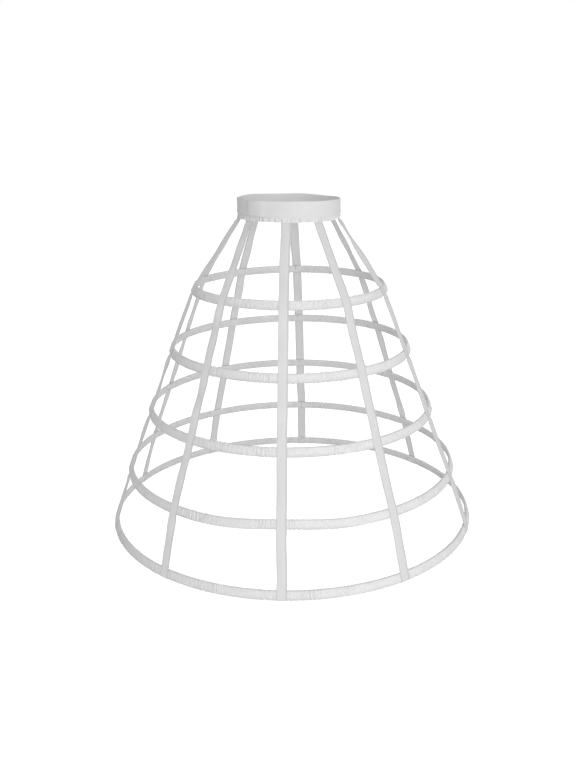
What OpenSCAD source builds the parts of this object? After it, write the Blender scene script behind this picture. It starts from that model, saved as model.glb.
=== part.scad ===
// Crinoline cage: five boned hoops hung from an elastic waistband on nine ribbon tapes.
// Millimetres, +Z up. The origin is on the cage's axis at the floor, and the front tape is toward -Y.

/* [Waist] */
// Inside diameter of the waist elastic at rest
waist_d = 198; // [170:1:240]
// Height of the elastic's top edge above the middle of the bottom hoop
waist_rise = 650.5; // [600:0.5:720]
// Width of the elastic
elastic_w = 28.5; // [20:0.5:38]
// Thickness of the elastic
elastic_t = 1.6; // [1.2:0.1:2.4]
// Length of the sewn lap where the elastic's ends cross
lap_l = 30; // [16:1:60]
// Direction of the lap's free end, counted from the front tape toward the right as seen from the front
lap_angle = -49; // [-75:1:-40]
// Length over which the outer end of the elastic climbs onto the inner end
climb_l = 14; // [8:1:24]
// Width of the gathered ribbon below the elastic
gather_w = 14; // [12:0.5:24]
// Thickness of the gathered ribbon
gather_t = 0.6; // [0.4:0.1:1]
// Height of gathered ribbon tucked up inside the elastic
tuck_h = 4; // [3:0.5:6]
// Number of gathers around the waist
gather_n = 58; // [40:1:80]
// Most that a gather stands out at its lower edge
gather_depth = 2.2; // [0.5:0.1:4]
// Most that the lower edge is drawn up by a gather
gather_lift = 1.4; // [0:0.1:3]
// Share of a gather's depth that is lost where the ribbon is drawn less
gather_loss = 0.6; // [0:0.05:0.9]

/* [Hoops] */
// Diameter of the top hoop, at the middle of its casing
hoop_1_d = 375; // [340:1:420]
// Height of the top hoop above the bottom hoop
hoop_1_rise = 477.5; // [440:0.5:500]
// Diameter of the second hoop
hoop_2_d = 473; // [440:1:520]
// Height of the second hoop above the bottom hoop
hoop_2_rise = 356; // [320:0.5:380]
// Diameter of the third hoop
hoop_3_d = 569; // [540:1:620]
// Height of the third hoop above the bottom hoop
hoop_3_rise = 233.5; // [200:0.5:260]
// Diameter of the fourth hoop
hoop_4_d = 669; // [630:1:700]
// Height of the fourth hoop above the bottom hoop
hoop_4_rise = 111; // [90:0.5:140]
// Diameter of the bottom hoop
hoop_5_d = 744; // [720:1:800]

/* [Casings and bones] */
// Width of a ruched casing, edge to edge
casing_w = 18.5; // [16:0.5:24]
// Thickness of a ruched casing, face to face
casing_t = 6.6; // [4:0.1:9]
// Open slit between a casing's two ends
seam_w = 1; // [0.5:0.1:3]
// Width of a bone
bone_w = 8; // [6:0.5:8.5]
// Thickness of a bone
bone_t = 0.8; // [0.5:0.1:1.2]
// Slit between a bone's two ends
bone_end_w = 1; // [0.5:0.1:3]
// Length of a joiner
joiner_l = 40; // [24:1:60]
// Thickness of a joiner's sheet
joiner_t = 0.35; // [0.2:0.05:0.5]

/* [Tapes] */
// Width of a tape
tape_w = 19; // [10:0.5:22]
// Thickness of a tape
tape_t = 0.8; // [0.5:0.1:1.2]
// Direction of the front right tape at the waist, counted from the front tape toward the right
front_right_root = 37; // [28:0.5:46]
// Direction of the front right tape on the hoops
front_right_angle = 35.5; // [25:0.5:46]
// Direction of the right tape at the waist
right_root = 86; // [70:0.5:95]
// Direction of the right tape on the hoops
right_angle = 73; // [60:0.5:85]
// Direction of the back right tape at the waist
back_right_root = 124; // [110:0.5:140]
// Direction of the back right tape on the hoops
back_right_angle = 130.5; // [110:0.5:145]
// Direction of the back tape at the waist
back_root = 178; // [165:0.5:190]
// Direction of the back tape on the hoops
back_angle = 178; // [165:0.5:190]
// Direction of the back left tape at the waist
back_left_root = 225; // [208:0.5:235]
// Direction of the back left tape on the hoops
back_left_angle = 215; // [205:0.5:228]
// Direction of the rear left tape at the waist
rear_left_root = 259; // [245:0.5:264]
// Direction of the rear left tape on the hoops
rear_left_angle = 249.5; // [240:0.5:262]
// Direction of the left tape at the waist
left_root = 280; // [274:0.5:295]
// Direction of the left tape on the hoops
left_angle = 287; // [276:0.5:298]
// Direction of the front left tape at the waist
front_left_root = 313; // [306:0.5:330]
// Direction of the front left tape on the hoops
front_left_angle = 323; // [312:0.5:335]

/* [Fit] */
// Gap between sewn layers of cloth
sew_gap = 0.1; // [0.05:0.05:0.3]
// Gap between a bone and its joiner, each side
joiner_fit = 0.05; // [0.05:0.05:0.15]
// Gap between a joiner and the casing around it, each side
bone_fit = 0.4; // [0.05:0.05:0.6]

/* [Hidden] */

// Colours
elastic_colour = [0.90, 0.90, 0.90];
ribbon_colour = [0.93, 0.93, 0.93];
bone_colour = [0.88, 0.88, 0.86];
joiner_colour = [0.66, 0.67, 0.69];

// Fineness of exact rounds, and of the modelled climb, gathers, tapes and casing edges
$fn = 180;
climb_steps = 12;
steps_per_gather = 6;
tape_steps = 3;
leg_steps = 6;
hem_step = 30;
edge_step = 30;

// The front tape is toward -Y
front = -90;

// Reach of a core to each side of an end of the elastic's climb, and its depth below the elastic's faces
core_l = 1;
core_inset = 0.1;

// Half sizes of what is inside a casing: the bone's slot in its joiner, the joiner, the room for both
slot_half = [bone_w / 2 + joiner_fit, bone_t / 2 + joiner_fit];
joiner_half = slot_half + [joiner_t, joiner_t];
room_half = joiner_half + [bone_fit, bone_fit];

// A casing's section has flat faces over the bone and full round edges
edge_r = casing_t / 2;
flat_half = casing_w / 2 - edge_r;
casing_section = [for (s = [1, -1], t = [-90:edge_step:90])
    s * [flat_half + edge_r * cos(t), edge_r * sin(t)]];

// Layers at the waist, from the outside in: elastic, gathered ribbon, tape. The elastic's lower edge is
// spread around the others, so that they keep clear of the waist
waist_r = waist_d / 2;
spread = gather_t + tape_t + 4 * sew_gap;
gather_r = waist_r + spread - sew_gap - gather_t;
tape_root_r = gather_r - sew_gap - tape_t;
lap_lift = elastic_t + sew_gap;

// Points of the cage's outline as [radius, height above the middle of the bottom hoop]
hoop_d = [hoop_1_d, hoop_2_d, hoop_3_d, hoop_4_d, hoop_5_d];
hoop_rise = [hoop_1_rise, hoop_2_rise, hoop_3_rise, hoop_4_rise, 0];
last = len(hoop_d) - 1;
elastic_low = waist_rise - elastic_w;
gather_top = elastic_low + tuck_h;
spread_top = gather_top + sew_gap;
gather_low = gather_top - gather_w;
tape_exit = [tape_root_r, gather_low - tape_t];

function unit(v) = v / norm(v);
function outward(v) = [-v.y, v.x];
function middle(i) = [hoop_d[i] / 2, hoop_rise[i]];

// A tape's leg above hoop i, the way down hoop i's casing, and a point on that casing's section
function leg(i) = unit(middle(i) - (i == 0 ? tape_exit : middle(i - 1)));
function fall(i) = unit(leg(i) + leg(min(i + 1, last)));
function on_hoop(i, p) = middle(i) + p.x * fall(i) + p.y * outward(fall(i));

// The other face of a strip of thickness t on the left of a path, with mitred corners
function mitre(a, b) = (outward(a) + outward(b)) / (1 + outward(a) * outward(b));
function side(p, i, t) =
    let (before = unit(p[max(i, 1)] - p[max(i, 1) - 1]))
    let (after = unit(p[min(i + 1, len(p) - 1)] - p[min(i, len(p) - 2)]))
    p[i] + t * mitre(before, after);
function other_face(p, t) = [for (i = [0:len(p) - 1]) side(p, i, t)];

// Inner face of a tape: inside the gathers, over each hoop, and around the bottom hoop's lower edge
seat = edge_r + sew_gap;
hem_r = seat / cos(hem_step / 2);
hem = [for (t = [90 - hem_step / 2:-hem_step:-90]) [flat_half + hem_r * cos(t), hem_r * sin(t)]];
tape_inner = concat(
    [[tape_root_r, gather_top - sew_gap], tape_exit],
    [for (i = [0:last - 1], s = [-1, 1]) on_hoop(i, [s * flat_half, seat])],
    [for (p = concat([[-flat_half, seat]], hem, [[-flat_half, -seat]])) on_hoop(last, p)]
);
tape_outer = other_face(tape_inner, tape_t);

// The turned end of the tapes stands on the floor
floor_drop = min([for (p = tape_outer) p.y]);

function degrees(length, r) = length / r * 180 / PI;

// A solid swept through rings of points, closed by flat ends or joined into a loop
module swept(rings, loop = false) {
    n = len(rings[0]);
    m = len(rings);
    ends = loop ? [] : [[for (k = [0:n - 1]) k], [for (k = [n - 1:-1:0]) (m - 1) * n + k]];
    walls = [for (j = [0:m - (loop ? 1 : 2)], k = [0:n - 1], half = [0, 1])
        let (a = j * n, b = (j + 1) % m * n, q = (k + 1) % n)
        half == 0 ? [a + k, b + k, b + q] : [a + k, b + q, a + q]];
    polyhedron(points = [for (ring = rings, p = ring) p], faces = concat(ends, walls));
}

// A point of an outline turned to an angle around the axis
function turned(p, angle) = [p.x * cos(angle), p.x * sin(angle), p.y];
function eased(t) = t * t * (3 - 2 * t);

// Plan of a whole turn of elastic, lifted off the waist, and of a wedge of it between two angles
module turn(lift) {
    difference() {
        circle(r = waist_r + lift + elastic_t);
        circle(r = waist_r + lift);
    }
}
module wedge(from, to) {
    polygon(concat([[0, 0]], [for (angle = [from, to]) 2 * waist_r * [cos(angle), sin(angle)]]));
}

// Plan of the elastic at a distance out from the waist: it goes once around, then its outer end climbs onto
// the inner end and laps it. The climb is rooted in the ring and in the lap by cores a little thinner than
// the elastic
module elastic_plan(out) {
    climb = degrees(climb_l, waist_r);
    lap = degrees(lap_l, waist_r);
    core = degrees(core_l, waist_r);
    function station(angle, lift, inset) = [for (r = [inset, elastic_t - inset])
        (waist_r + out + lift + r) * [cos(angle), sin(angle)]];
    stations = concat(
        [for (angle = [core, -core]) station(angle, 0, core_inset)],
        [for (j = [2:climb_steps - 2])
            let (t = j / climb_steps)
            station(-climb * t, lap_lift * eased(t), 0)],
        [for (angle = [core - climb, -core - climb]) station(angle, lap_lift, core_inset)]
    );
    rotate(front + lap_angle + lap + climb) {
        difference() {
            turn(out);
            wedge(-climb, 0);
        }
        intersection() {
            turn(out + lap_lift);
            wedge(-climb - lap, -climb);
        }
        polygon(concat([for (s = stations) s[0]], [for (j = [len(stations) - 1:-1:0]) stations[j][1]]));
    }
}

// The elastic's lower edge stands out around the layers inside it, and a shoulder joins it to the rest
module waist_elastic() {
    color(elastic_colour) translate([0, 0, -floor_drop]) {
        translate([0, 0, spread_top]) linear_extrude(height = waist_rise - spread_top) elastic_plan(0);
        translate([0, 0, elastic_low])
            linear_extrude(height = spread_top + elastic_t - elastic_low) elastic_plan(spread);
        translate([0, 0, spread_top]) linear_extrude(height = elastic_t) difference() {
            circle(r = waist_r + spread + elastic_t / 2);
            circle(r = waist_r + elastic_t / 2);
        }
    }
}

// How far a gather stands out at an angle, from 0 to 1: even gathers, drawn less in slow uneven waves
function wave(turns, angle) = (1 - cos(turns * angle)) / 2;
function gather_at(angle) =
    wave(gather_n, angle) * (1 - gather_loss * (wave(7, angle) + wave(17, angle)) / 2);

// The gathered ribbon is flat where it is sewn and stands out in gathers at its lower edge
module waist_gather() {
    count = gather_n * steps_per_gather;
    rows = 3;
    sewn_low = elastic_low - sew_gap;
    opened = [for (j = [0:rows]) max(j - 1, 0) / (rows - 1)];
    heights = [for (j = [0:rows]) j == 0 ? gather_top : sewn_low - opened[j] * (sewn_low - gather_low)];
    function face(j, angle, r) =
        [r, heights[j]] + [gather_depth, gather_lift] * opened[j] * gather_at(angle);
    rings = [for (i = [count - 1:-1:0])
        let (angle = i * 360 / count)
        concat(
            [for (j = [0:rows]) turned(face(j, angle, gather_r), angle)],
            [for (j = [rows:-1:0]) turned(face(j, angle, gather_r + gather_t), angle)]
        )];
    color(ribbon_colour) translate([0, 0, -floor_drop]) swept(rings, loop = true);
}

// A point of a tape's face, at u to the side of the tape's middle line
function beside(p, u, angle) =
    let (x = sqrt(p.x * p.x - u * u))
    [x * cos(angle) - u * sin(angle), x * sin(angle) + u * cos(angle), p.y];

// A tape leaves the waist in one direction, turns along its upper leg and crosses the hoops in another
module tape(root, angle) {
    across = [for (k = [0:tape_steps]) (k / tape_steps - 0.5) * tape_w];
    function ring(j, toward) = concat(
        [for (u = across) beside(tape_inner[j], u, front + toward)],
        [for (k = [tape_steps:-1:0]) beside(tape_outer[j], across[k], front + toward)]
    );
    leaving = ring(1, root);
    arriving = ring(2, angle);
    rings = concat(
        [ring(0, root)],
        [for (t = [0:leg_steps]) leaving + (arriving - leaving) * t / leg_steps],
        [for (j = [3:len(tape_inner) - 1]) ring(j, angle)]
    );
    color(ribbon_colour) translate([0, 0, -floor_drop]) swept(rings);
}

// Turns a hoop's part so that its slit of a given width is under the back tape
module around_hoop(i, slit_w) {
    slit = degrees(slit_w, hoop_d[i] / 2);
    translate([0, 0, -floor_drop]) rotate([0, 0, front + back_angle + slit / 2])
        rotate_extrude(angle = 360 - slit) children();
}

// Sets a section at a hoop's middle, with its x axis down the hoop's slope
module at_hoop(i) {
    translate(middle(i)) rotate(atan2(fall(i).y, fall(i).x)) children();
}

module casing(i) {
    color(ribbon_colour) around_hoop(i, seam_w) at_hoop(i) difference() {
        polygon(casing_section);
        square(2 * room_half, center = true);
    }
}

module bone(i) {
    color(bone_colour) around_hoop(i, bone_end_w) at_hoop(i) square([bone_w, bone_t], center = true);
}

// A joiner lies along the hoop across the slit between the bone's ends
module joiner(i) {
    length = degrees(joiner_l, hoop_d[i] / 2);
    color(joiner_colour) translate([0, 0, -floor_drop]) rotate([0, 0, front + back_angle - length / 2])
        rotate_extrude(angle = length) at_hoop(i) difference() {
            square(2 * joiner_half, center = true);
            square(2 * slot_half, center = true);
        }
}

waist_elastic();
waist_gather();
tape(0, 0);  // tape_front
tape(front_right_root, front_right_angle);  // tape_front_right
tape(right_root, right_angle);  // tape_right
tape(back_right_root, back_right_angle);  // tape_back_right
tape(back_root, back_angle);  // tape_back
tape(back_left_root, back_left_angle);  // tape_back_left
tape(rear_left_root, rear_left_angle);  // tape_rear_left
tape(left_root, left_angle);  // tape_left
tape(front_left_root, front_left_angle);  // tape_front_left
for (i = [0:last]) {
    casing(i);
    bone(i);
    joiner(i);
}
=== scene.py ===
"""Looks of the crinoline cage: ruched hoop casings, woven tapes, a ribbed waist elastic and its gathers."""

import math

import bpy
import numpy as np
from mathutils import Euler, Matrix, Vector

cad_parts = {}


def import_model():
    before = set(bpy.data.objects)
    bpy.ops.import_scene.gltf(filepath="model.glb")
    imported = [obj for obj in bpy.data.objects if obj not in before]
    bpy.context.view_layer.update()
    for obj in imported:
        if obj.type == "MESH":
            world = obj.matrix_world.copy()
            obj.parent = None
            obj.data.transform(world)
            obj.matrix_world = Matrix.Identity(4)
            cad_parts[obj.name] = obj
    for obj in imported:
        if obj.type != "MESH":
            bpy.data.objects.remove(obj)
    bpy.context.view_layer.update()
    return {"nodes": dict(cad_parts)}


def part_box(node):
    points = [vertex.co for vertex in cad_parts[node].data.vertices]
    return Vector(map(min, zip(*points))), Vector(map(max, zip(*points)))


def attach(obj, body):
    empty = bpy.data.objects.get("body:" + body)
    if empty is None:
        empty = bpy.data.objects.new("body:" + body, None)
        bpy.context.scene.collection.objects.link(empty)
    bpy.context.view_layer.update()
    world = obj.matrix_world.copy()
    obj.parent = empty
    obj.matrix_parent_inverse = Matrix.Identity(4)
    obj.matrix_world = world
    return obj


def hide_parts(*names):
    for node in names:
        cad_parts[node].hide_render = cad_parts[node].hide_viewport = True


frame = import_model()

MM = 0.001
FULL_TURN = 2 * math.pi
FRONT = math.radians(-90)
HOOPS = range(1, 6)
TAPES = sorted(n for n in frame["nodes"] if n.startswith("tape_"))


# Reading the frame

def vertices(node):
    """Every vertex of a CAD node."""
    mesh = frame["nodes"][node].data
    points = np.empty(3 * len(mesh.vertices))
    mesh.vertices.foreach_get("co", points)
    return points.reshape(-1, 3)


def meridian(node):
    """Radius and height of every vertex of a CAD node."""
    points = vertices(node)
    return np.c_[np.hypot(points[:, 0], points[:, 1]), points[:, 2]]


def midpoint(points):
    return (points.min(axis=0) + points.max(axis=0)) / 2


def direction(points):
    """Angle around the axis at which points lie."""
    x, y, _ = points.mean(axis=0)
    return math.atan2(y, x)


# Places and blends

def spun(radius, height, angle):
    """Points at a radius and height, turned to an angle around the axis."""
    radius, height, angle = np.broadcast_arrays(radius, height, angle)
    return np.stack([radius * np.cos(angle), radius * np.sin(angle), height], axis=-1)


def turn_between(a, b):
    """Signed angle from b to a, within half a turn."""
    return (a - b + math.pi) % FULL_TURN - math.pi


def smooth(edge_0, edge_1, x):
    """From 0 at the first edge to 1 at the second, without a kink."""
    t = np.clip((np.asarray(x, float) - edge_0) / (edge_1 - edge_0), 0, 1)
    return t * t * (3 - 2 * t)


def unit(vectors):
    return vectors / np.linalg.norm(vectors, axis=-1, keepdims=True)


def travelled(line):
    """How far along a line of points each one lies."""
    return np.r_[0, np.cumsum(np.linalg.norm(np.diff(line, axis=0), axis=1))]


def resampled(places, known, line):
    """Points of a line at places along it, where its own points lie at known places."""
    return np.stack([np.interp(places, known, line[:, axis]) for axis in range(3)], axis=-1)


def waves(count, step, shortest, longest, seed):
    """Smooth random heights of unit size at even steps around a ring, between two wavelengths."""
    spectrum = np.fft.rfft(np.random.RandomState(seed).normal(size=count))
    pitch = np.fft.rfftfreq(count, step)
    spectrum[(pitch < 1 / longest) | (pitch > 1 / shortest)] = 0
    heights = np.fft.irfft(spectrum, count)
    return heights / heights.std()


# How the cage hangs

# How the cloth lies on its hoops, in millimetres: a shift to the right, how much wider it is at each side,
# the rise at the front and at the right, and the rise of a bend at the front and back and along the diagonal
HOOP_LIE = {
    1: (1.1, 2.6, -1.0, -0.9, 0.1, -0.9),
    2: (1.0, 3.0, -0.5, -0.8, -0.5, -1.1),
    3: (0.2, 2.6, -0.7, -0.3, 0.4, -0.9),
    4: (0.1, 1.0, 1.4, 0.3, 0.5, -0.1),
    5: (1.1, 1.1, -0.3, 1.1, -0.5, -0.4),
}
CLOTH_LIFT = 1.3 * MM

# The front tape draws these hoops up, over this far to each side
DRAWN_UP = {4: 5 * MM}
DRAWN_REACH = math.radians(23)


class Hoop:
    """A hoop's place, read from its bone: its middle, the way down its slope and the way out."""

    def __init__(self, number):
        bone = meridian(f"hoop_{number}_bone")
        level = midpoint(bone)[1]
        top = midpoint(bone[bone[:, 1] > level])
        low = midpoint(bone[bone[:, 1] < level])
        self.number = number
        self.middle = (top + low) / 2
        self.fall = (low - top) / np.linalg.norm(low - top)
        self.out = np.array([-self.fall[1], self.fall[0]])
        casing = meridian(f"hoop_{number}_casing") - self.middle
        self.half_w = np.abs(casing @ self.fall).max()
        self.edge_r = np.abs(casing @ self.out).max()
        self.flat_half = self.half_w - self.edge_r
        self.length = FULL_TURN * self.middle[0]

    def lie(self, angle):
        """Change of radius and of height at an angle, from the way the cloth hangs."""
        shift, oval, front, right, bend, diagonal = HOOP_LIE[self.number]
        turn = np.asarray(angle) - FRONT
        wider = shift * np.sin(turn) + oval * np.sin(turn) ** 2
        rise = front * np.cos(turn) + right * np.sin(turn)
        rise = rise + bend * np.cos(2 * turn) + diagonal * np.sin(2 * turn)
        near = np.clip(1 - np.abs(turn_between(turn, 0)) / DRAWN_REACH, 0, 1)
        drawn = DRAWN_UP.get(self.number, 0) * smooth(0, 1, near)
        return wider * MM, rise * MM + CLOTH_LIFT + drawn

    def on(self, s, n, angle, hung=1.0):
        """Points at s down the slope and n out of the hoop's middle, at angles around the axis."""
        s, n, angle = np.broadcast_arrays(s, n, angle)
        wider, higher = (hung * change for change in self.lie(angle))
        radius = self.middle[0] + s * self.fall[0] + n * self.out[0] + wider
        height = self.middle[1] + s * self.fall[1] + n * self.out[1] + higher
        return spun(radius, height, angle)


hoops = [Hoop(number) for number in HOOPS]

# The layers sewn inside the elastic are pressed in by this much
WAIST_SNUG = 1.2 * MM
LOWER_EDGE_REACH = 1 * MM
elastic_low, elastic_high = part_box("waist_elastic")
gather_low, gather_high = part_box("waist_gather")
elastic_points = meridian("waist_elastic")
waist_r = elastic_points[:, 0].min()
gather_r = meridian("waist_gather")[:, 0].min() - WAIST_SNUG
lower_edge = elastic_points[elastic_points[:, 1] < elastic_low[2] + LOWER_EDGE_REACH, 0]
elastic_spread = lower_edge.min() - waist_r - WAIST_SNUG


def tape_directions(name):
    """Angles at which a tape leaves the waist and crosses the hoops."""
    points = vertices(name)
    return (direction(points[points[:, 2] > gather_low[2]]),
            direction(points[points[:, 2] < hoops[0].middle[1]]))


tape_angles = {name: tape_directions(name) for name in TAPES}

# How far to its right, in millimetres, a tape wanders on each hoop
TAPE_SHIFT = {
    "tape_front": (0, -0.5, -1.3, -1, 0),
    "tape_front_right": (1, 1.5, 2.5, 2.5, 2),
    "tape_front_left": (0, 1, 1, 0.5, 5.5),
    "tape_back": (-2.5, -2.5, -1, 0, 2.5),
    "tape_back_right": (0, -2.5, -3, -2, 1.5),
}


def tape_angle(name, hoop):
    """Angle at which a tape crosses a hoop."""
    shift = TAPE_SHIFT.get(name, (0,) * len(HOOPS))[hoop.number - 1]
    return tape_angles[name][1] + shift * MM / hoop.middle[0]


seam_angle = tape_angles["tape_back"][1]

# The waist hangs a little to the right, and higher in front and on the left
WAIST_SHIFT = np.array([2.2 * MM, 0, 0])
WAIST_LEAN = 0.8 * MM
WAIST_TILT = 1.8 * MM


def around_waist(radius, height, angle):
    """Points around the waist as it hangs."""
    turn = np.asarray(angle) - FRONT
    rise = CLOTH_LIFT + WAIST_LEAN * np.cos(turn) - WAIST_TILT * np.sin(turn)
    return spun(radius, height + rise, angle) + WAIST_SHIFT


# Building meshes

SHARP_ANGLE = math.radians(50)


def mesh_object(name, points, faces, cloth, material):
    """A smooth mesh that keeps its place on the cloth, in metres along and across, and the painted shade
    of its hollows."""
    mesh = bpy.data.meshes.new(name)
    mesh.from_pydata(points.reshape(-1, 3).tolist(), [], faces)
    place = np.zeros((points.size // 3, 3))
    place[:, :cloth.shape[-1]] = cloth.reshape(-1, cloth.shape[-1])
    mesh.attributes.new("cloth", "FLOAT_VECTOR", "POINT").data.foreach_set("vector", place.ravel())
    mesh.polygons.foreach_set("use_smooth", np.ones(len(mesh.polygons), bool))
    mesh.set_sharp_from_angle(angle=SHARP_ANGLE)
    mesh.materials.append(material)
    mesh.update()
    piece = bpy.data.objects.new(name, mesh)
    bpy.context.scene.collection.objects.link(piece)
    return piece


def tube_faces(rows, columns, ring):
    """Faces over a grid whose columns close on themselves, and whose rows close too if it is a ring."""
    last = rows if ring else rows - 1
    i, k = np.meshgrid(np.arange(last), np.arange(columns), indexing="ij")
    j, m = (i + 1) % rows, (k + 1) % columns
    quads = np.stack([i * columns + k, i * columns + m, j * columns + m, j * columns + k], axis=-1)
    faces = quads.reshape(-1, 4).tolist()
    if not ring:
        faces.append(list(range(columns))[::-1])
        faces.append([(rows - 1) * columns + k for k in range(columns)])
    return faces


def swept_object(name, points, cloth, material, ring=False):
    """A closed solid over a grid of points: rows along the cloth, columns around its section."""
    rows, columns = points.shape[:2]
    return mesh_object(name, points, tube_faces(rows, columns, ring), cloth, material)


def on_cloth(*places):
    """Places on the cloth, and the painted shade of hollows, joined over a grid of points."""
    return np.stack(np.broadcast_arrays(*places), axis=-1)


def place_piece(piece, slot, *nodes):
    """Rides a piece on the frame and stands for the given CAD nodes, which it hides; the slot is not used."""
    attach(piece, "root")
    if nodes:
        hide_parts(*nodes)
    return piece


# Stitches

STITCH_SIDES = 4
STITCH_R = 0.2 * MM
STITCH_GAP = 0.35 * MM
STITCH_ROWS = np.array([0, 0.5, 1])
STITCH_GIRTH = np.array([0.5, 1, 0.5])
STITCH_RISE = np.array([-0.6, 0.5, -0.6])


def stitches(name, starts, ends, lifts, material):
    """Short threads between pairs of points, each raised in the middle and sunk at its ends."""
    along = unit(ends - starts)
    across = np.cross(along, lifts)
    turn = np.arange(STITCH_SIDES) * FULL_TURN / STITCH_SIDES
    middle = starts[:, None] + STITCH_ROWS[None, :, None] * (ends - starts)[:, None]
    middle = middle + STITCH_R * STITCH_RISE[None, :, None] * lifts[:, None]
    ring = np.cos(turn)[None, :, None] * across[:, None] + np.sin(turn)[None, :, None] * lifts[:, None]
    points = middle[:, :, None] + STITCH_R * STITCH_GIRTH[None, :, None, None] * ring[:, None]
    count, each = len(starts), len(STITCH_ROWS) * STITCH_SIDES
    one = tube_faces(len(STITCH_ROWS), STITCH_SIDES, ring=False)
    faces = [[i * each + v for v in face] for i in range(count) for face in one]
    cloth = np.zeros((count * each, 2))
    return mesh_object(name, points, faces, cloth, material)


# Materials

class Nodes:
    """A short way to write the nodes of a material or of the world."""

    def __init__(self, tree):
        self.tree = tree
        self.shader = tree.nodes.get("Principled BSDF")

    def add(self, kind, **settings):
        node = self.tree.nodes.new(kind)
        for key, value in settings.items():
            setattr(node, key, value)
        return node

    def join(self, source, target):
        self.tree.links.new(source, target)

    def math(self, operation, a, b=None):
        node = self.add("ShaderNodeMath", operation=operation)
        for socket, value in zip(node.inputs, (a, b)):
            if isinstance(value, (int, float)):
                socket.default_value = value
            elif value is not None:
                self.join(value, socket)
        return node.outputs[0]

    def noise(self, scale, detail, vector):
        node = self.add("ShaderNodeTexNoise")
        node.inputs["Scale"].default_value = scale
        node.inputs["Detail"].default_value = detail
        self.join(vector, node.inputs["Vector"])
        return node.outputs["Fac"]

    def cloth(self):
        """Metres along the cloth, metres across it and the painted shade of its hollows from 0 to 1."""
        split = self.add("ShaderNodeSeparateXYZ")
        self.join(self.add("ShaderNodeAttribute", attribute_name="cloth").outputs["Vector"], split.inputs[0])
        return split.outputs["X"], split.outputs["Y"], split.outputs["Z"]

    def object_place(self):
        return self.add("ShaderNodeTexCoord").outputs["Object"]

    def ridges(self, place, pitch):
        """A wave from -1 to 1 that repeats at a pitch."""
        return self.math("SINE", self.math("MULTIPLY", place, FULL_TURN / pitch))

    def rise(self, value, start, end):
        """From 0 at a start to 1 at an end."""
        node = self.add("ShaderNodeMapRange", interpolation_type="SMOOTHSTEP")
        node.inputs["From Min"].default_value = start
        node.inputs["From Max"].default_value = end
        self.join(value, node.inputs["Value"])
        return node.outputs["Result"]

    def ramp(self, fac, low, high):
        node = self.add("ShaderNodeValToRGB")
        node.color_ramp.elements[0].color = (*low, 1)
        node.color_ramp.elements[1].color = (*high, 1)
        self.join(fac, node.inputs[0])
        return node.outputs["Color"]

    def bump(self, height, distance):
        node = self.add("ShaderNodeBump")
        node.inputs["Distance"].default_value = distance
        node.inputs["Strength"].default_value = 1.0
        self.join(height, node.inputs["Height"])
        self.join(node.outputs["Normal"], self.shader.inputs["Normal"])


def new_material(name):
    material = bpy.data.materials.new(name)
    material.use_nodes = True
    return material, Nodes(material.node_tree)


def grey(level):
    return (level, level, level)


# Painted shade along a tape's edges: where it starts and is darkest, out from its middle, and how much darker
# it is
RIGHT_EDGE_SHADE_BAND, RIGHT_SHADE = (6 * MM, 7 * MM), 0.75
LEFT_EDGE_SHADE_BAND, LEFT_SHADE = (7.2 * MM, 8.2 * MM), 0.45


def painted_edge_shades(n, across):
    """Painted shade along both edges of a tape, more on its right."""
    right = n.math("MULTIPLY", n.rise(across, *RIGHT_EDGE_SHADE_BAND), RIGHT_SHADE)
    left = n.math("MULTIPLY", n.rise(n.math("MULTIPLY", across, -1), *LEFT_EDGE_SHADE_BAND), LEFT_SHADE)
    return n.math("ADD", right, left)


# Painted shade at a casing's edges: how close to the edge it keeps, the scale of its patches, the noise at
# which a patch starts and is full, and how much darker it is
LOW_EDGE = (3, 11, (0.25, 0.6), 1.0)
TOP_EDGE = (5, 16, (0.4, 0.65), 0.35)
PATCH_DETAIL = 1
# Painted shade that mottles the puckers: the scale and detail of its noise, where it starts and is full, and
# how much darker it is
PUCKER_SHADE_SCALE, PUCKER_SHADE_DETAIL = 330, 2
PUCKER_SHADE_RISE, PUCKER_SHADE_AMOUNT = (0.62, 0.4), 0.35
casing_girth = 4 * hoops[0].flat_half + FULL_TURN * hoops[0].edge_r


def edge_shade(n, facing, place, closeness, scale, rise, shade):
    """Painted shade in patches where a casing turns to one of its edges."""
    edge = n.math("POWER", n.math("MAXIMUM", facing, 0), closeness)
    patches = n.rise(n.noise(scale, PATCH_DETAIL, place), *rise)
    return n.math("MULTIPLY", n.math("MULTIPLY", edge, patches), shade)


def casing_shades(n, across):
    """Painted shade: a casing's lower and top edges darken in places, and its puckers are mottled with shade.
    """
    upward = n.math("COSINE", n.math("MULTIPLY", across, FULL_TURN / casing_girth))
    place = n.object_place()
    low = edge_shade(n, n.math("MULTIPLY", upward, -1), place, *LOW_EDGE)
    top = edge_shade(n, upward, place, *TOP_EDGE)
    pucker_shade = n.rise(n.noise(PUCKER_SHADE_SCALE, PUCKER_SHADE_DETAIL, place), *PUCKER_SHADE_RISE)
    return n.math("ADD", n.math("ADD", low, top), n.math("MULTIPLY", pucker_shade, PUCKER_SHADE_AMOUNT))


# A cloth's darkest colour as a share of its level, and how far its parts move it between the two: its tone,
# its weave, and painted shade in its hollows
CLOTH_DARKEST = 0.8
CLOTH_SHADE = 0.7
TONE_SHADE = 0.24
WEAVE_SHADE = 0.03
HOLLOW_SHADE = 0.8
TONE_SCALE, TONE_DETAIL = 45, 4
CLOTH_ROUGHNESS, TONE_ROUGHNESS = 0.62, 0.2
CLOTH_SPECULAR = 0.25
CLOTH_SHEEN = 0.08


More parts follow.
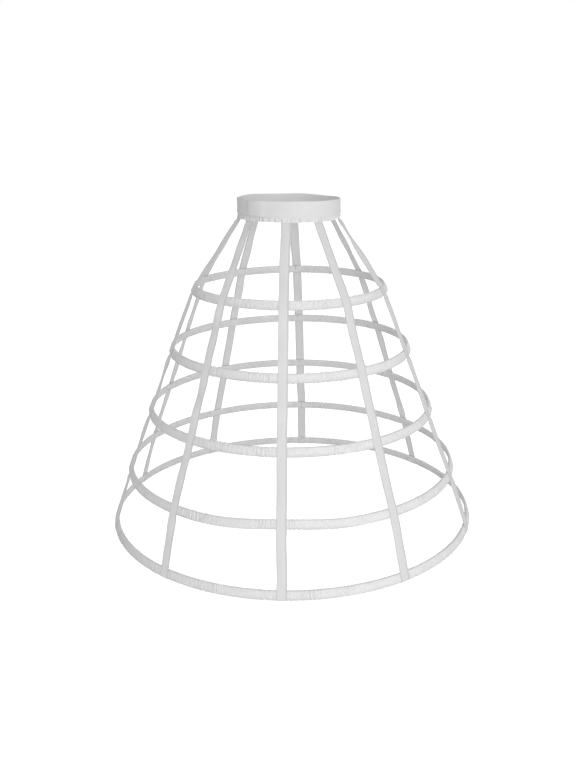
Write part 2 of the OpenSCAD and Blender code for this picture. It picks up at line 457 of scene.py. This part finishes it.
def woven(name, level, thread, rib, rib_share, bump, shades=None):
    """Matt white cloth: a fine weave, lengthwise ribs, slow changes of tone, painted shade in its hollows,
    and further painted shade if given.
    """
    material, n = new_material(name)
    along, across, hollow = n.cloth()
    weave = n.math("MULTIPLY", n.ridges(along, 2 * thread), n.ridges(across, 2 * thread))
    ribs = n.ridges(across, rib)
    height = n.math("ADD", n.math("MULTIPLY", weave, 1 - rib_share), n.math("MULTIPLY", ribs, rib_share))
    n.bump(height, bump)
    tone = n.noise(TONE_SCALE, TONE_DETAIL, n.object_place())
    shade = n.math("ADD", n.math("MULTIPLY", tone, TONE_SHADE), n.math("MULTIPLY", height, WEAVE_SHADE))
    # Painted shade: the cloth's hollows darken its colour
    shade = n.math("SUBTRACT", n.math("ADD", shade, CLOTH_SHADE), n.math("MULTIPLY", hollow, HOLLOW_SHADE))
    if shades:
        shade = n.math("SUBTRACT", shade, shades(n, across))
    n.join(n.ramp(shade, grey(level * CLOTH_DARKEST), grey(level)), n.shader.inputs["Base Color"])
    roughness = n.math("ADD", n.math("MULTIPLY", tone, TONE_ROUGHNESS), CLOTH_ROUGHNESS)
    n.join(roughness, n.shader.inputs["Roughness"])
    n.shader.inputs["Specular IOR Level"].default_value = CLOTH_SPECULAR
    n.shader.inputs["Sheen Weight"].default_value = CLOTH_SHEEN
    return material


GRAIN_SCALE, GRAIN_DETAIL = 900, 3
GRAIN_DARKEST = 0.93
GRAIN_ROUGHNESS = 0.15
GRAIN_H = 0.02 * MM


def plain(name, level, roughness, metallic):
    """Coated or bare metal with a faint grain and small changes of gloss."""
    material, n = new_material(name)
    grain = n.noise(GRAIN_SCALE, GRAIN_DETAIL, n.object_place())
    n.join(n.ramp(grain, grey(GRAIN_DARKEST * level), grey(level)), n.shader.inputs["Base Color"])
    rough = n.math("ADD", n.math("MULTIPLY", grain, GRAIN_ROUGHNESS), roughness)
    n.join(rough, n.shader.inputs["Roughness"])
    n.shader.inputs["Metallic"].default_value = metallic
    n.bump(grain, GRAIN_H)
    return material


# Painted light and shade: thin ribbon lets light through, so each tape's base colour is set a little darker
# where it is turned to the light, and lighter where it is turned away
TAPE_TONE = 0.82
TAPE_PAINTED_LEVEL = {
    "tape_front": 0.775, "tape_front_right": 0.75, "tape_right": 0.74,
    "tape_back_right": 0.9, "tape_left": 0.85, "tape_front_left": 0.84,
}


def tape_material(name):
    return woven(f"{name}_cloth", TAPE_PAINTED_LEVEL.get(name, TAPE_TONE), thread=0.3 * MM, rib=2.3 * MM,
                 rib_share=0.35, bump=0.06 * MM, shades=painted_edge_shades)


# One copy of the tape cloth for each tape, at its painted level of light and shade
tape_cloth = {name: tape_material(name) for name in TAPES}
casing_cloth = woven("casing_cloth", 0.885, thread=0.3 * MM, rib=1.1 * MM, rib_share=0.15, bump=0.06 * MM,
                     shades=casing_shades)
gather_cloth = woven("gather_cloth", 0.82, thread=0.3 * MM, rib=1.1 * MM, rib_share=0.15, bump=0.06 * MM)
elastic_cloth = woven("elastic_cloth", 0.80, thread=0.35 * MM, rib=1.05 * MM, rib_share=0.5, bump=0.1 * MM)
thread_white = woven("thread_white", 0.80, thread=0.12 * MM, rib=0.3 * MM, rib_share=0.3, bump=0.02 * MM)
bone_coat = plain("bone_coat", 0.80, roughness=0.4, metallic=0)
joiner_steel = plain("joiner_steel", 0.62, roughness=0.28, metallic=1)


# Hoops: bones, joiners and ruched casings

CASING_STEP = 1.1 * MM
CASING_SEED = 100
EDGE_STEPS = 4
FLAT_STEPS = 6
SEAM_W = 1 * MM
RUCHE_SOFT = 0.36 * MM
RUCHE_CREASE = 0.6 * MM
CREASE_SHARE = 0.4
# Share of each crease painted as shade in its hollow
CREASE_HOLLOW = 0.4
EDGE_FLUTTER = 0.22 * MM
TAPE_HOLD = (7.5 * MM, 16 * MM)
TAPE_PRESS = 0.35 * MM
CASING_STITCH = 3.6 * MM
STITCH_TURN = math.radians(40)

# Wavelengths of the soft puckers, of the sharper folds, and of the places where the ruching is bunched
PUCKERS, FOLDS, BUNCHES = (4 * MM, 14 * MM), (8 * MM, 30 * MM), (60 * MM, 400 * MM)
BUNCH_MEAN, BUNCH_RANGE, BUNCH_CONTRAST = 0.68, 0.47, 1.4

# Waves of their own for the top and lower edge of the outer and of the inner face
FACE_EDGES = 4
BUNCH_SEED = 9


def seam_to_seam(hoop, count):
    """Angles all around a hoop from one side of its seam to the other."""
    slit = SEAM_W / hoop.middle[0]
    return seam_angle + np.linspace(slit / 2, FULL_TURN - slit / 2, count)


class Casing:
    """The ruched surface of a hoop's casing."""

    def __init__(self, hoop):
        count = int(hoop.length / CASING_STEP)
        step = hoop.length / count
        seed = CASING_SEED * hoop.number
        self.hoop = hoop
        self.angle = seam_to_seam(hoop, count)
        self.along = (self.angle - seam_angle) * hoop.middle[0]
        self.puckers = [waves(count, step, *PUCKERS, seed + k) for k in range(FACE_EDGES)]
        self.folds = [waves(count, step, *FOLDS, seed + FACE_EDGES + k) for k in range(FACE_EDGES)]
        bunches = waves(count, step, *BUNCHES, seed + BUNCH_SEED)
        self.bunched = BUNCH_MEAN + BUNCH_RANGE * np.tanh(BUNCH_CONTRAST * bunches)
        self.held = np.ones(count)
        for name in TAPES:
            reach = np.abs(turn_between(self.angle, tape_angle(name, hoop))) * hoop.middle[0]
            self.held = np.minimum(self.held, smooth(*TAPE_HOLD, reach))

    def loop(self):
        """Places around the section, as a centre down the slope and a turn about it, from the top edge."""
        quarter = np.linspace(0, math.pi / 2, EDGE_STEPS + 1)
        flat = np.linspace(-1, 1, FLAT_STEPS + 1)[1:-1] * self.hoop.flat_half
        top, low = -self.hoop.flat_half, self.hoop.flat_half
        places = [(top, math.pi - t) for t in quarter]
        places += [(s, math.pi / 2) for s in flat]
        places += [(low, math.pi / 2 - t) for t in np.linspace(0, math.pi, 2 * EDGE_STEPS + 1)]
        places += [(s, -math.pi / 2) for s in flat[::-1]]
        places += [(top, -math.pi / 2 - t) for t in quarter[:-1]]
        return places

    def mixed(self, sets, across, outer):
        """Blends waves of the top and lower edge, and of the outer and inner face."""
        faces = [sets[k] * (1 - across) + sets[k + 1] * across for k in (0, 2)]
        return faces[0] * outer + faces[1] * (1 - outer)

    def point(self, centre, turn):
        """The casing's surface all along the hoop, at a place around its section, and the painted shade of
        its creases there.
        """
        hoop = self.hoop
        s = centre + hoop.edge_r * math.cos(turn)
        across = (s / hoop.half_w + 1) / 2
        outer = (1 + math.sin(turn)) / 2
        ruched = self.held * self.bunched
        pucker = self.mixed(self.puckers, across, outer)
        crease = ruched * np.exp(-(self.mixed(self.folds, across, outer) / CREASE_SHARE) ** 2)
        rise = ruched * RUCHE_SOFT * pucker - RUCHE_CREASE * crease - TAPE_PRESS * (1 - self.held)
        flutter = EDGE_FLUTTER * ruched * pucker
        reach = hoop.edge_r + rise
        points = hoop.on(centre + (reach + flutter) * math.cos(turn), reach * math.sin(turn), self.angle)
        return points, crease

    def build(self):
        places = self.loop()
        points, creases = zip(*(self.point(*place) for place in places))
        edge_r = self.hoop.edge_r
        section = np.array([(c + edge_r * math.cos(t), edge_r * math.sin(t)) for c, t in places])
        cloth = on_cloth(self.along[:, None], travelled(section)[None, :],
                         # Painted shade in the creases rides on the cloth attribute
                         CREASE_HOLLOW * np.stack(creases, axis=1))
        number = self.hoop.number
        piece = swept_object(f"hoop_{number}_casing_cloth", np.stack(points, axis=1), cloth, casing_cloth)
        return place_piece(piece, "ribbon", f"hoop_{number}_casing")

    def sew(self):
        """A row of stitches near each edge of the outer face."""
        hoop = self.hoop
        starts, ends, lifts = [], [], []
        marks = np.arange(CASING_STITCH, self.along[-1] - CASING_STITCH, CASING_STITCH)
        for side in (-1, 1):
            turn = math.pi / 2 - side * STITCH_TURN
            path, _ = self.point(side * hoop.flat_half, turn)
            away = math.cos(turn) * hoop.fall + math.sin(turn) * hoop.out
            starts.append(resampled(marks + STITCH_GAP, self.along, path))
            ends.append(resampled(marks + CASING_STITCH - STITCH_GAP, self.along, path))
            lifts.append(spun(*away, np.interp(marks, self.along, self.angle)))
        rows = map(np.concatenate, (starts, ends, lifts))
        return place_piece(stitches(f"hoop_{hoop.number}_stitching", *rows, thread_white), "ribbon")


BONE_SOFT = 0.2 * MM
BONE_STEPS = 240
JOINER_CLEAR = (30 * MM, 90 * MM)


def bone(hoop):
    """The flat strip inside a casing, with softened edges, which keeps to the solid's place at the joiner."""
    section = meridian(f"hoop_{hoop.number}_bone") - hoop.middle
    half = np.abs(section @ hoop.fall).max(), np.abs(section @ hoop.out).max()
    loop = []
    for a, b in ((-1, -1), (1, -1), (1, 1), (-1, 1)):
        soft = [(a * (half[0] - BONE_SOFT), b * half[1]), (a * half[0], b * (half[1] - BONE_SOFT))]
        loop += soft if a * b < 0 else soft[::-1]
    s, n = np.array(loop).T
    angle = seam_to_seam(hoop, BONE_STEPS)
    hung = smooth(*JOINER_CLEAR, np.abs(turn_between(angle, seam_angle)) * hoop.middle[0])
    points = hoop.on(s[None, :], n[None, :], angle[:, None], hung[:, None])
    cloth = np.zeros((*points.shape[:2], 2))
    return place_piece(swept_object(f"hoop_{hoop.number}_bone_strip", points, cloth, bone_coat), "bone",
                       f"hoop_{hoop.number}_bone")


for hoop in hoops:
    casing = Casing(hoop)
    casing.build()
    casing.sew()
    bone(hoop)
    joiner = frame["nodes"][f"hoop_{hoop.number}_joiner"]
    joiner.data.materials.clear()
    joiner.data.materials.append(joiner_steel)


# Tapes

TAPE_T = 0.8 * MM
TAPE_STEP = 1.2 * MM
TAPE_SEED, SEEDS_EACH = 1000, 10
TAPE_TUCK = 1 * MM
TAPE_EASE = 14 * MM
HEM_STEPS = 12
SEW_GAP = 0.12 * MM
TAPE_BOW = 0.5 * MM
TAPE_WANDER, WANDERS = 0.25 * MM, (90 * MM, 400 * MM)
TAPE_SWAY, SWAYS = 0.3 * MM, (80 * MM, 400 * MM)
TAPE_TWIST, TWISTS = math.radians(3), (60 * MM, 400 * MM)
TAPE_EDGE, EDGES = 0.08 * MM, (8 * MM, 60 * MM)
TAPE_RIPPLE, RIPPLES = 0.06 * MM, (6 * MM, 20 * MM)
TAPE_ACROSS = np.array([-1, -0.97, -0.8, -0.4, 0, 0.4, 0.8, 0.97, 1])
TAPE_W = float(np.ptp(vertices("tape_front")[:, 0]))

# The side tapes turn toward the front, less so below the top hoop
TAPE_FACING = {"tape_right": math.radians(14), "tape_left": math.radians(-14)}
LOWER_FACING = 0.6

# How far from its seams a tape starts to move or turn, and where it is quite free to
FREE_FROM_HOOP, FREE_FROM_WAIST = (8 * MM, 28 * MM), (14 * MM, 34 * MM)
TURN_FROM_HOOP, TURN_FROM_WAIST = (6 * MM, 15 * MM), (9 * MM, 19 * MM)


def tape_path(name):
    """Even steps along a tape, from inside the gathers to its turned end: how far along, the place, the angle
    it faces, and where it is sewn to the hoops."""
    seat = hoops[0].edge_r - TAPE_PRESS + SEW_GAP + TAPE_T / 2
    root_r = gather_r - SEW_GAP - TAPE_T / 2
    root, angle = tape_angles[name]
    root = angle + turn_between(root, angle)
    line = [around_waist(root_r, z, root) for z in (gather_high[2] - TAPE_TUCK, gather_low[2] - TAPE_T)]
    for hoop in hoops:
        line += [hoop.on(side * hoop.flat_half, seat, tape_angle(name, hoop)) for side in (-1, 1)]
    bottom = hoops[-1]
    at_hem = tape_angle(name, bottom)
    hem = np.linspace(math.pi / 2, -math.pi / 2, HEM_STEPS + 1)[1:]
    line += list(bottom.on(bottom.flat_half + seat * np.cos(hem), seat * np.sin(hem), at_hem))
    line.append(bottom.on(-bottom.flat_half, -seat, at_hem))
    line = np.array(line)
    length = travelled(line)
    even = np.linspace(0, length[-1], int(length[-1] / TAPE_STEP))
    path = resampled(even, length, line)
    facing = np.interp(even, length[1:3], [root, angle])
    sewn = length[2:2 + 2 * len(hoops)].reshape(-1, 2).mean(axis=1)
    return even, path, facing, sewn


def loose(even, sewn, from_hoop, from_waist):
    """From 0 where a tape is sewn, and on its turned end, to 1 away from its seams."""
    share = np.min([smooth(*from_hoop, np.abs(even - at)) for at in sewn], axis=0)
    return share * smooth(*from_waist, even) * (even < sewn[-1])


def tape(name, seed):
    even, path, facing, sewn = tape_path(name)
    run = unit(np.gradient(path, axis=0))
    window = np.ones(int(TAPE_EASE / TAPE_STEP))
    window = window / len(window)
    eased = np.stack([np.convolve(run[:, axis], window, mode="same") for axis in range(3)], axis=-1)
    across = np.stack([-np.sin(facing), np.cos(facing), 0 * facing], axis=-1)
    across = unit(across - (across * eased).sum(axis=1, keepdims=True) * eased)
    lift = unit(np.cross(run, across))
    radius = np.hypot(path[:, 0], path[:, 1])
    facing_out = np.abs((lift[:, :2] * path[:, :2]).sum(axis=1)) / radius
    free = loose(even, sewn, FREE_FROM_HOOP, FREE_FROM_WAIST)
    turned = loose(even, sewn, TURN_FROM_HOOP, TURN_FROM_WAIST)
    kinds = (WANDERS, SWAYS, TWISTS, EDGES, RIPPLES)
    wander, sway, twist, edge, ripple = (waves(len(even), TAPE_STEP, *kind, seed + k)
                                         for k, kind in enumerate(kinds))
    wander = TAPE_WANDER * free * wander
    sway = TAPE_SWAY * free * sway
    twist = TAPE_TWIST * free * twist
    twist = twist + TAPE_FACING.get(name, 0) * turned * np.where(even < sewn[0], 1, LOWER_FACING)
    edge = TAPE_EDGE * edge
    ripple = TAPE_RIPPLE * free * ripple
    columns, place_across = [], []
    for face in (1, -1):
        for share in TAPE_ACROSS[::face]:
            t = share * (TAPE_W / 2 + edge)
            h = TAPE_BOW * free * (1 - share ** 2) - t ** 2 / (2 * radius) * facing_out
            h = h + abs(share) * ripple + face * TAPE_T / 2
            t, h = t * np.cos(twist) - h * np.sin(twist), t * np.sin(twist) + h * np.cos(twist)
            columns.append(path + (t + wander)[:, None] * across + (h + sway)[:, None] * lift)
            place_across.append(share * TAPE_W / 2)
    points = np.stack(columns, axis=1)
    cloth = on_cloth(even[:, None], np.array(place_across)[None, :])
    piece = place_piece(swept_object(f"{name}_ribbon", points, cloth, tape_cloth[name]), "ribbon", name)


for number, name in enumerate(TAPES):
    tape(name, TAPE_SEED + SEEDS_EACH * number)


SEW_ROW = 0.75
SEW_INSET = 2 * MM
SEW_COUNT = 6


def sew_tapes():
    """Two short rows of stitches across each tape where it crosses a hoop."""
    starts, ends, lifts = [], [], []
    marks = np.linspace(-TAPE_W / 2 + SEW_INSET, TAPE_W / 2 - SEW_INSET, SEW_COUNT + 1)
    for name in TAPES:
        for hoop in hoops:
            angle = tape_angle(name, hoop)
            across = np.array([-math.sin(angle), math.cos(angle), 0])
            lift = spun(*hoop.out, angle)
            n = hoop.edge_r - TAPE_PRESS + SEW_GAP + TAPE_T
            for side in (-1, 1):
                middle = hoop.on(side * SEW_ROW * hoop.flat_half, n, angle)
                for a, b in zip(marks[:-1] + STITCH_GAP, marks[1:] - STITCH_GAP):
                    starts.append(middle + a * across - lift * a ** 2 / (2 * hoop.middle[0]))
                    ends.append(middle + b * across - lift * b ** 2 / (2 * hoop.middle[0]))
                    lifts.append(lift)
    rows = map(np.array, (starts, ends, lifts))
    return place_piece(stitches("tape_stitching", *rows, thread_white), "ribbon")


sew_tapes()


# Waist elastic

ELASTIC_T = 1.6 * MM
ELASTIC_STEP = 1.2 * MM
ELASTIC_SEED = 41
LAP_ANGLE = math.radians(-46)
LAP_L = 30 * MM
CLIMB_L = 14 * MM
LAP_GAP = 0.1 * MM
# Width and strength of a painted shadow line at the lap's free end
LAP_END_W = 2.5 * MM
LAP_END_SHADE = 0.6
RIB_N = 12
RIB_H = 0.08 * MM
RIB_STEPS = 3
ELASTIC_EDGE = 0.35 * MM
EDGE_SHARE, EDGE_ROW = 0.02, 0.008
ELASTIC_SWAY, ELASTIC_SWAYS = 0.6 * MM, (60 * MM, 330 * MM)
ELASTIC_DIP, ELASTIC_DIPS = 0.35 * MM, (90 * MM, 330 * MM)
ELASTIC_CREPE, ELASTIC_CREPES = 0.05 * MM, (4 * MM, 10 * MM)
STEADY_END = 0.4
SPREAD_OVER = (4.2 * MM, 11 * MM)
WAIST_STITCH = 3 * MM
WAIST_STITCH_ROW = 0.93
LAP_STITCH_ROWS = (3 * MM, 9 * MM)
LAP_STITCH_MARKS = np.linspace(0.08, 0.9, 10)
LAP_STITCH_GAP = 0.1
elastic_w = elastic_high[2] - elastic_low[2]


class Elastic:
    """The elastic from its outer free end, over the lap and once around to its inner end."""

    def __init__(self):
        lap, climb = LAP_L / waist_r, CLIMB_L / waist_r
        turns = FULL_TURN + lap
        count = int(turns * waist_r / ELASTIC_STEP)
        self.turned = np.linspace(0, turns, count)
        self.angle = FRONT + LAP_ANGLE + self.turned
        self.along = self.turned * waist_r
        self.lift = (ELASTIC_T + LAP_GAP) * (1 - smooth(lap, lap + climb, self.turned))
        kinds = (ELASTIC_SWAYS, ELASTIC_DIPS, ELASTIC_CREPES)
        sway, dip, crepe = (waves(count, ELASTIC_STEP, *kind, ELASTIC_SEED + k)
                            for k, kind in enumerate(kinds))
        ends = smooth(0, STEADY_END, self.turned) * smooth(0, STEADY_END, turns - self.turned)
        self.sway = ELASTIC_SWAY * ends * sway
        self.dip = ELASTIC_DIP * dip
        self.crepe = ELASTIC_CREPE * crepe

    def point(self, share, side):
        """All along the elastic at a share of its width down from the top, on its outer or inner face."""
        flat = smooth(0, EDGE_SHARE, share) * smooth(0, EDGE_SHARE, 1 - share)
        rib = RIB_H * math.cos(FULL_TURN * RIB_N * share)
        r = waist_r + self.lift + (ELASTIC_T if side > 0 else 0) + self.sway * (1 - share)
        r = r + elastic_spread * (1 - smooth(*SPREAD_OVER, (1 - share) * elastic_w))
        r = r - side * (1 - flat) * ELASTIC_EDGE + side * flat * (self.crepe - rib)
        return around_waist(r, elastic_high[2] - share * elastic_w + self.dip * (1 - share), self.angle)

    def build(self):
        shares = np.r_[0, EDGE_ROW, np.linspace(0, 1, RIB_N * RIB_STEPS + 1)[1:-1], 1 - EDGE_ROW, 1]
        loop = [(share, 1) for share in shares] + [(share, -1) for share in shares[::-1]]
        points = np.stack([self.point(share, side) for share, side in loop], axis=1)
        across = np.array([share * elastic_w for share, _ in loop])
        # Painted shadow line along the free end of the lap
        end = LAP_END_SHADE * (self.along < LAP_END_W)
        cloth = on_cloth(self.along[:, None], across[None, :], end[:, None])
        piece = place_piece(swept_object("waist_elastic_band", points, cloth, elastic_cloth), "elastic",
                            "waist_elastic")

    def at(self, share, along):
        return resampled(along, self.along, self.point(share, 1))

    def outward(self, along):
        return spun(1.0, 0.0, np.interp(along, self.along, self.angle))

    def sew(self):
        """A row along the lower edge, and two upright rows that close the lap."""
        around = np.arange(WAIST_STITCH, self.along[-1] - LAP_L - WAIST_STITCH, WAIST_STITCH)
        starts = [self.at(WAIST_STITCH_ROW, around + STITCH_GAP)]
        ends = [self.at(WAIST_STITCH_ROW, around + WAIST_STITCH - STITCH_GAP)]
        lifts = [self.outward(around)]
        for along in LAP_STITCH_ROWS:
            places = np.array([self.at(mark, along) for mark in LAP_STITCH_MARKS])
            gap = LAP_STITCH_GAP * np.diff(places, axis=0)
            starts.append(places[:-1] + gap)
            ends.append(places[1:] - gap)
            lifts.append(self.outward(np.full(len(gap), along)))
        rows = map(np.concatenate, (starts, ends, lifts))
        return place_piece(stitches("waist_stitching", *rows, thread_white), "elastic")


elastic = Elastic()
elastic.build()
elastic.sew()


# Gathered ribbon below the elastic

GATHER_T = 0.5 * MM
GATHER_STEP = 0.7 * MM
GATHER_SEED = 61
GATHER_N = 80
GATHER_ROWS = 10
GATHER_DEPTH = 2.5 * MM
GATHER_LIFT = 0.35 * MM
GATHER_OPEN = 1.5 * MM
FOLD_JITTER, JITTERS = 1.6, (14 * MM, 70 * MM)
DEPTH_MEAN, DEPTH_RANGE, DEPTHS = 0.6, 0.4, (9 * MM, 60 * MM)
GATHER_CREASE, CREASES = 0.12 * MM, (3.5 * MM, 9 * MM)
GATHER_LEAN, LEANS = 0.8 * MM, (15 * MM, 80 * MM)
GATHER_HEM, HEMS = 0.4 * MM, (10 * MM, 90 * MM)

# The deeper folds are turned this far round, the hem is shorter on the right, and the painted shade in the
# fold hollows is lighter at the hem
GATHER_TURN = math.radians(22)
GATHER_SHORT, SHORT_FROM = 3 * MM, 0.8
FOLD_HOLLOW, HEM_HOLLOW = 3.0, 0.7


def gather():
    """Uneven folds, flat where they are sewn and open at the lower edge."""
    count = int(FULL_TURN * gather_r / GATHER_STEP)
    step = FULL_TURN * gather_r / count
    turned = np.linspace(0, FULL_TURN, count, endpoint=False)
    angle = FRONT + turned
    kinds = (JITTERS, DEPTHS, CREASES, LEANS, HEMS)
    jitter, depth, crease, lean, hem = (waves(count, step, *kind, GATHER_SEED + k)
                                        for k, kind in enumerate(kinds))
    fold = 0.5 - 0.5 * np.cos(GATHER_N * turned + FOLD_JITTER * jitter)
    depth = np.roll(DEPTH_MEAN + DEPTH_RANGE * np.tanh(depth), int(count * GATHER_TURN / FULL_TURN))
    crease = GATHER_CREASE * crease
    lean = GATHER_LEAN * lean
    hem = np.maximum(GATHER_HEM * hem, 0) + GATHER_SHORT * smooth(SHORT_FROM, 1, np.sin(turned))
    top, low = gather_high[2] - TAPE_TUCK, gather_low[2]
    opens_at = elastic_low[2] + GATHER_OPEN
    columns, hollows = [], []
    for face in (1, -1):
        for row in np.linspace(0, 1, GATHER_ROWS)[::face]:
            z = top + (low - top) * row
            open_by = smooth(0, 1, (opens_at - z) / (opens_at - low))
            r = gather_r + open_by * (GATHER_DEPTH * depth * fold + crease) + (GATHER_T if face > 0 else 0)
            z = z + open_by ** 2 * (GATHER_LIFT * depth * fold + hem)
            columns.append(around_waist(r, z, angle + open_by * lean / gather_r))
            # Painted shade in the hollows between folds
            dark = FOLD_HOLLOW + (HEM_HOLLOW - FOLD_HOLLOW) * open_by
            hollows.append(open_by * dark * depth * (1 - fold) ** 2)
    points = np.stack(columns, axis=1)
    rows = np.linspace(0, top - low, GATHER_ROWS)
    across = np.r_[rows, rows[::-1]]
    cloth = on_cloth((turned * gather_r)[:, None], across[None, :], np.stack(hollows, axis=1))
    piece = place_piece(swept_object("waist_gather_ribbon", points, cloth, gather_cloth, ring=True), "ribbon",
                        "waist_gather")


gather()


# Floor, light and camera

FLOOR_HALF = 8.0
FLOOR_LEVEL = 0.85
FLOOR_GLOW = 0.72
AMBIENT = 0.58
KEY_PLACE = (1.24, -3.06, 0.85)
KEY_TARGET = (0, 0, 0.3)
KEY_SIZE = 1.6
KEY_POWER = 44.5


def seen_ray(n):
    """1 for rays that show the background itself, in the picture, in gloss or through glass."""
    path = n.add("ShaderNodeLightPath")
    kinds = [path.outputs[f"Is {kind} Ray"] for kind in ("Camera", "Glossy", "Transmission")]
    return n.math("MAXIMUM", n.math("MAXIMUM", kinds[0], kinds[1]), kinds[2])


def floor():
    """A plain white floor that keeps the object's shadow and meets the white background without a line."""
    mesh = bpy.data.meshes.new("floor")
    corners = [(-1, -1), (1, -1), (1, 1), (-1, 1)]
    mesh.from_pydata([(x * FLOOR_HALF, y * FLOOR_HALF, 0) for x, y in corners], [], [(0, 1, 2, 3)])
    material, n = new_material("floor_white")
    n.tree.nodes.remove(n.shader)
    diffuse = n.add("ShaderNodeBsdfDiffuse")
    diffuse.inputs["Color"].default_value = (*grey(FLOOR_LEVEL), 1)
    glow = n.add("ShaderNodeEmission")
    n.join(n.math("MULTIPLY", seen_ray(n), FLOOR_GLOW), glow.inputs["Strength"])
    both = n.add("ShaderNodeAddShader")
    n.join(diffuse.outputs[0], both.inputs[0])
    n.join(glow.outputs[0], both.inputs[1])
    n.join(both.outputs[0], n.tree.nodes["Material Output"].inputs["Surface"])
    mesh.materials.append(material)
    plane = bpy.data.objects.new("floor", mesh)
    bpy.context.scene.collection.objects.link(plane)


def world():
    """Even white light, and a white background where the camera sees it."""
    sky = bpy.data.worlds.new("studio")
    sky.use_nodes = True
    bpy.context.scene.world = sky
    n = Nodes(sky.node_tree)
    background = n.tree.nodes["Background"]
    background.inputs["Color"].default_value = (*grey(1), 1)
    level = n.math("ADD", n.math("MULTIPLY", seen_ray(n), 1 - AMBIENT), AMBIENT)
    n.join(level, background.inputs["Strength"])


def lamp(name, place, target, size, power):
    """A round soft lamp that points at a target."""
    data = bpy.data.lights.new(name, "AREA")
    data.shape = "DISK"
    data.size = size
    data.energy = power
    light = bpy.data.objects.new(name, data)
    light.location = place
    x, y, z = np.array(target) - np.array(place)
    light.rotation_euler = (math.atan2(math.hypot(x, y), -z), 0, math.atan2(y, x) - math.pi / 2)
    bpy.context.scene.collection.objects.link(light)


# The photograph's camera, fitted to the hoops: its frame in pixels, its focal length and its place
FRAME_W, FRAME_H = 576, 768
FOCAL_PX = 832
SENSOR = 36
CAMERA_AZIMUTH = math.radians(3)
CAMERA_DISTANCE = 1.650
CAMERA_SIDE = -0.0039
CAMERA_RISE = 0.7925
CAMERA_PITCH = 0.3058
CAMERA_ROLL = -0.0132


def camera():
    data = bpy.data.cameras.new("camera")
    data.sensor_width = SENSOR
    data.lens = FOCAL_PX / max(FRAME_W, FRAME_H) * SENSOR
    view = bpy.data.objects.new("camera", data)
    away = FRONT + CAMERA_AZIMUTH
    back = np.array([math.cos(away), math.sin(away), 0])
    right = np.array([-math.sin(away), math.cos(away), 0])
    place = CAMERA_DISTANCE * back + CAMERA_SIDE * right
    view.location = (place[0], place[1], hoops[-1].middle[1] + CAMERA_RISE)
    view.rotation_mode = "XYZ"
    level = Euler((math.pi / 2 - CAMERA_PITCH, 0, CAMERA_AZIMUTH), "XYZ").to_matrix()
    view.rotation_euler = (level @ Matrix.Rotation(CAMERA_ROLL, 3, "Z")).to_euler("XYZ")
    bpy.context.scene.collection.objects.link(view)
    bpy.context.scene.camera = view


floor()
world()
lamp("key", KEY_PLACE, KEY_TARGET, KEY_SIZE, KEY_POWER)
camera()
bpy.context.scene.view_settings.view_transform = "Standard"
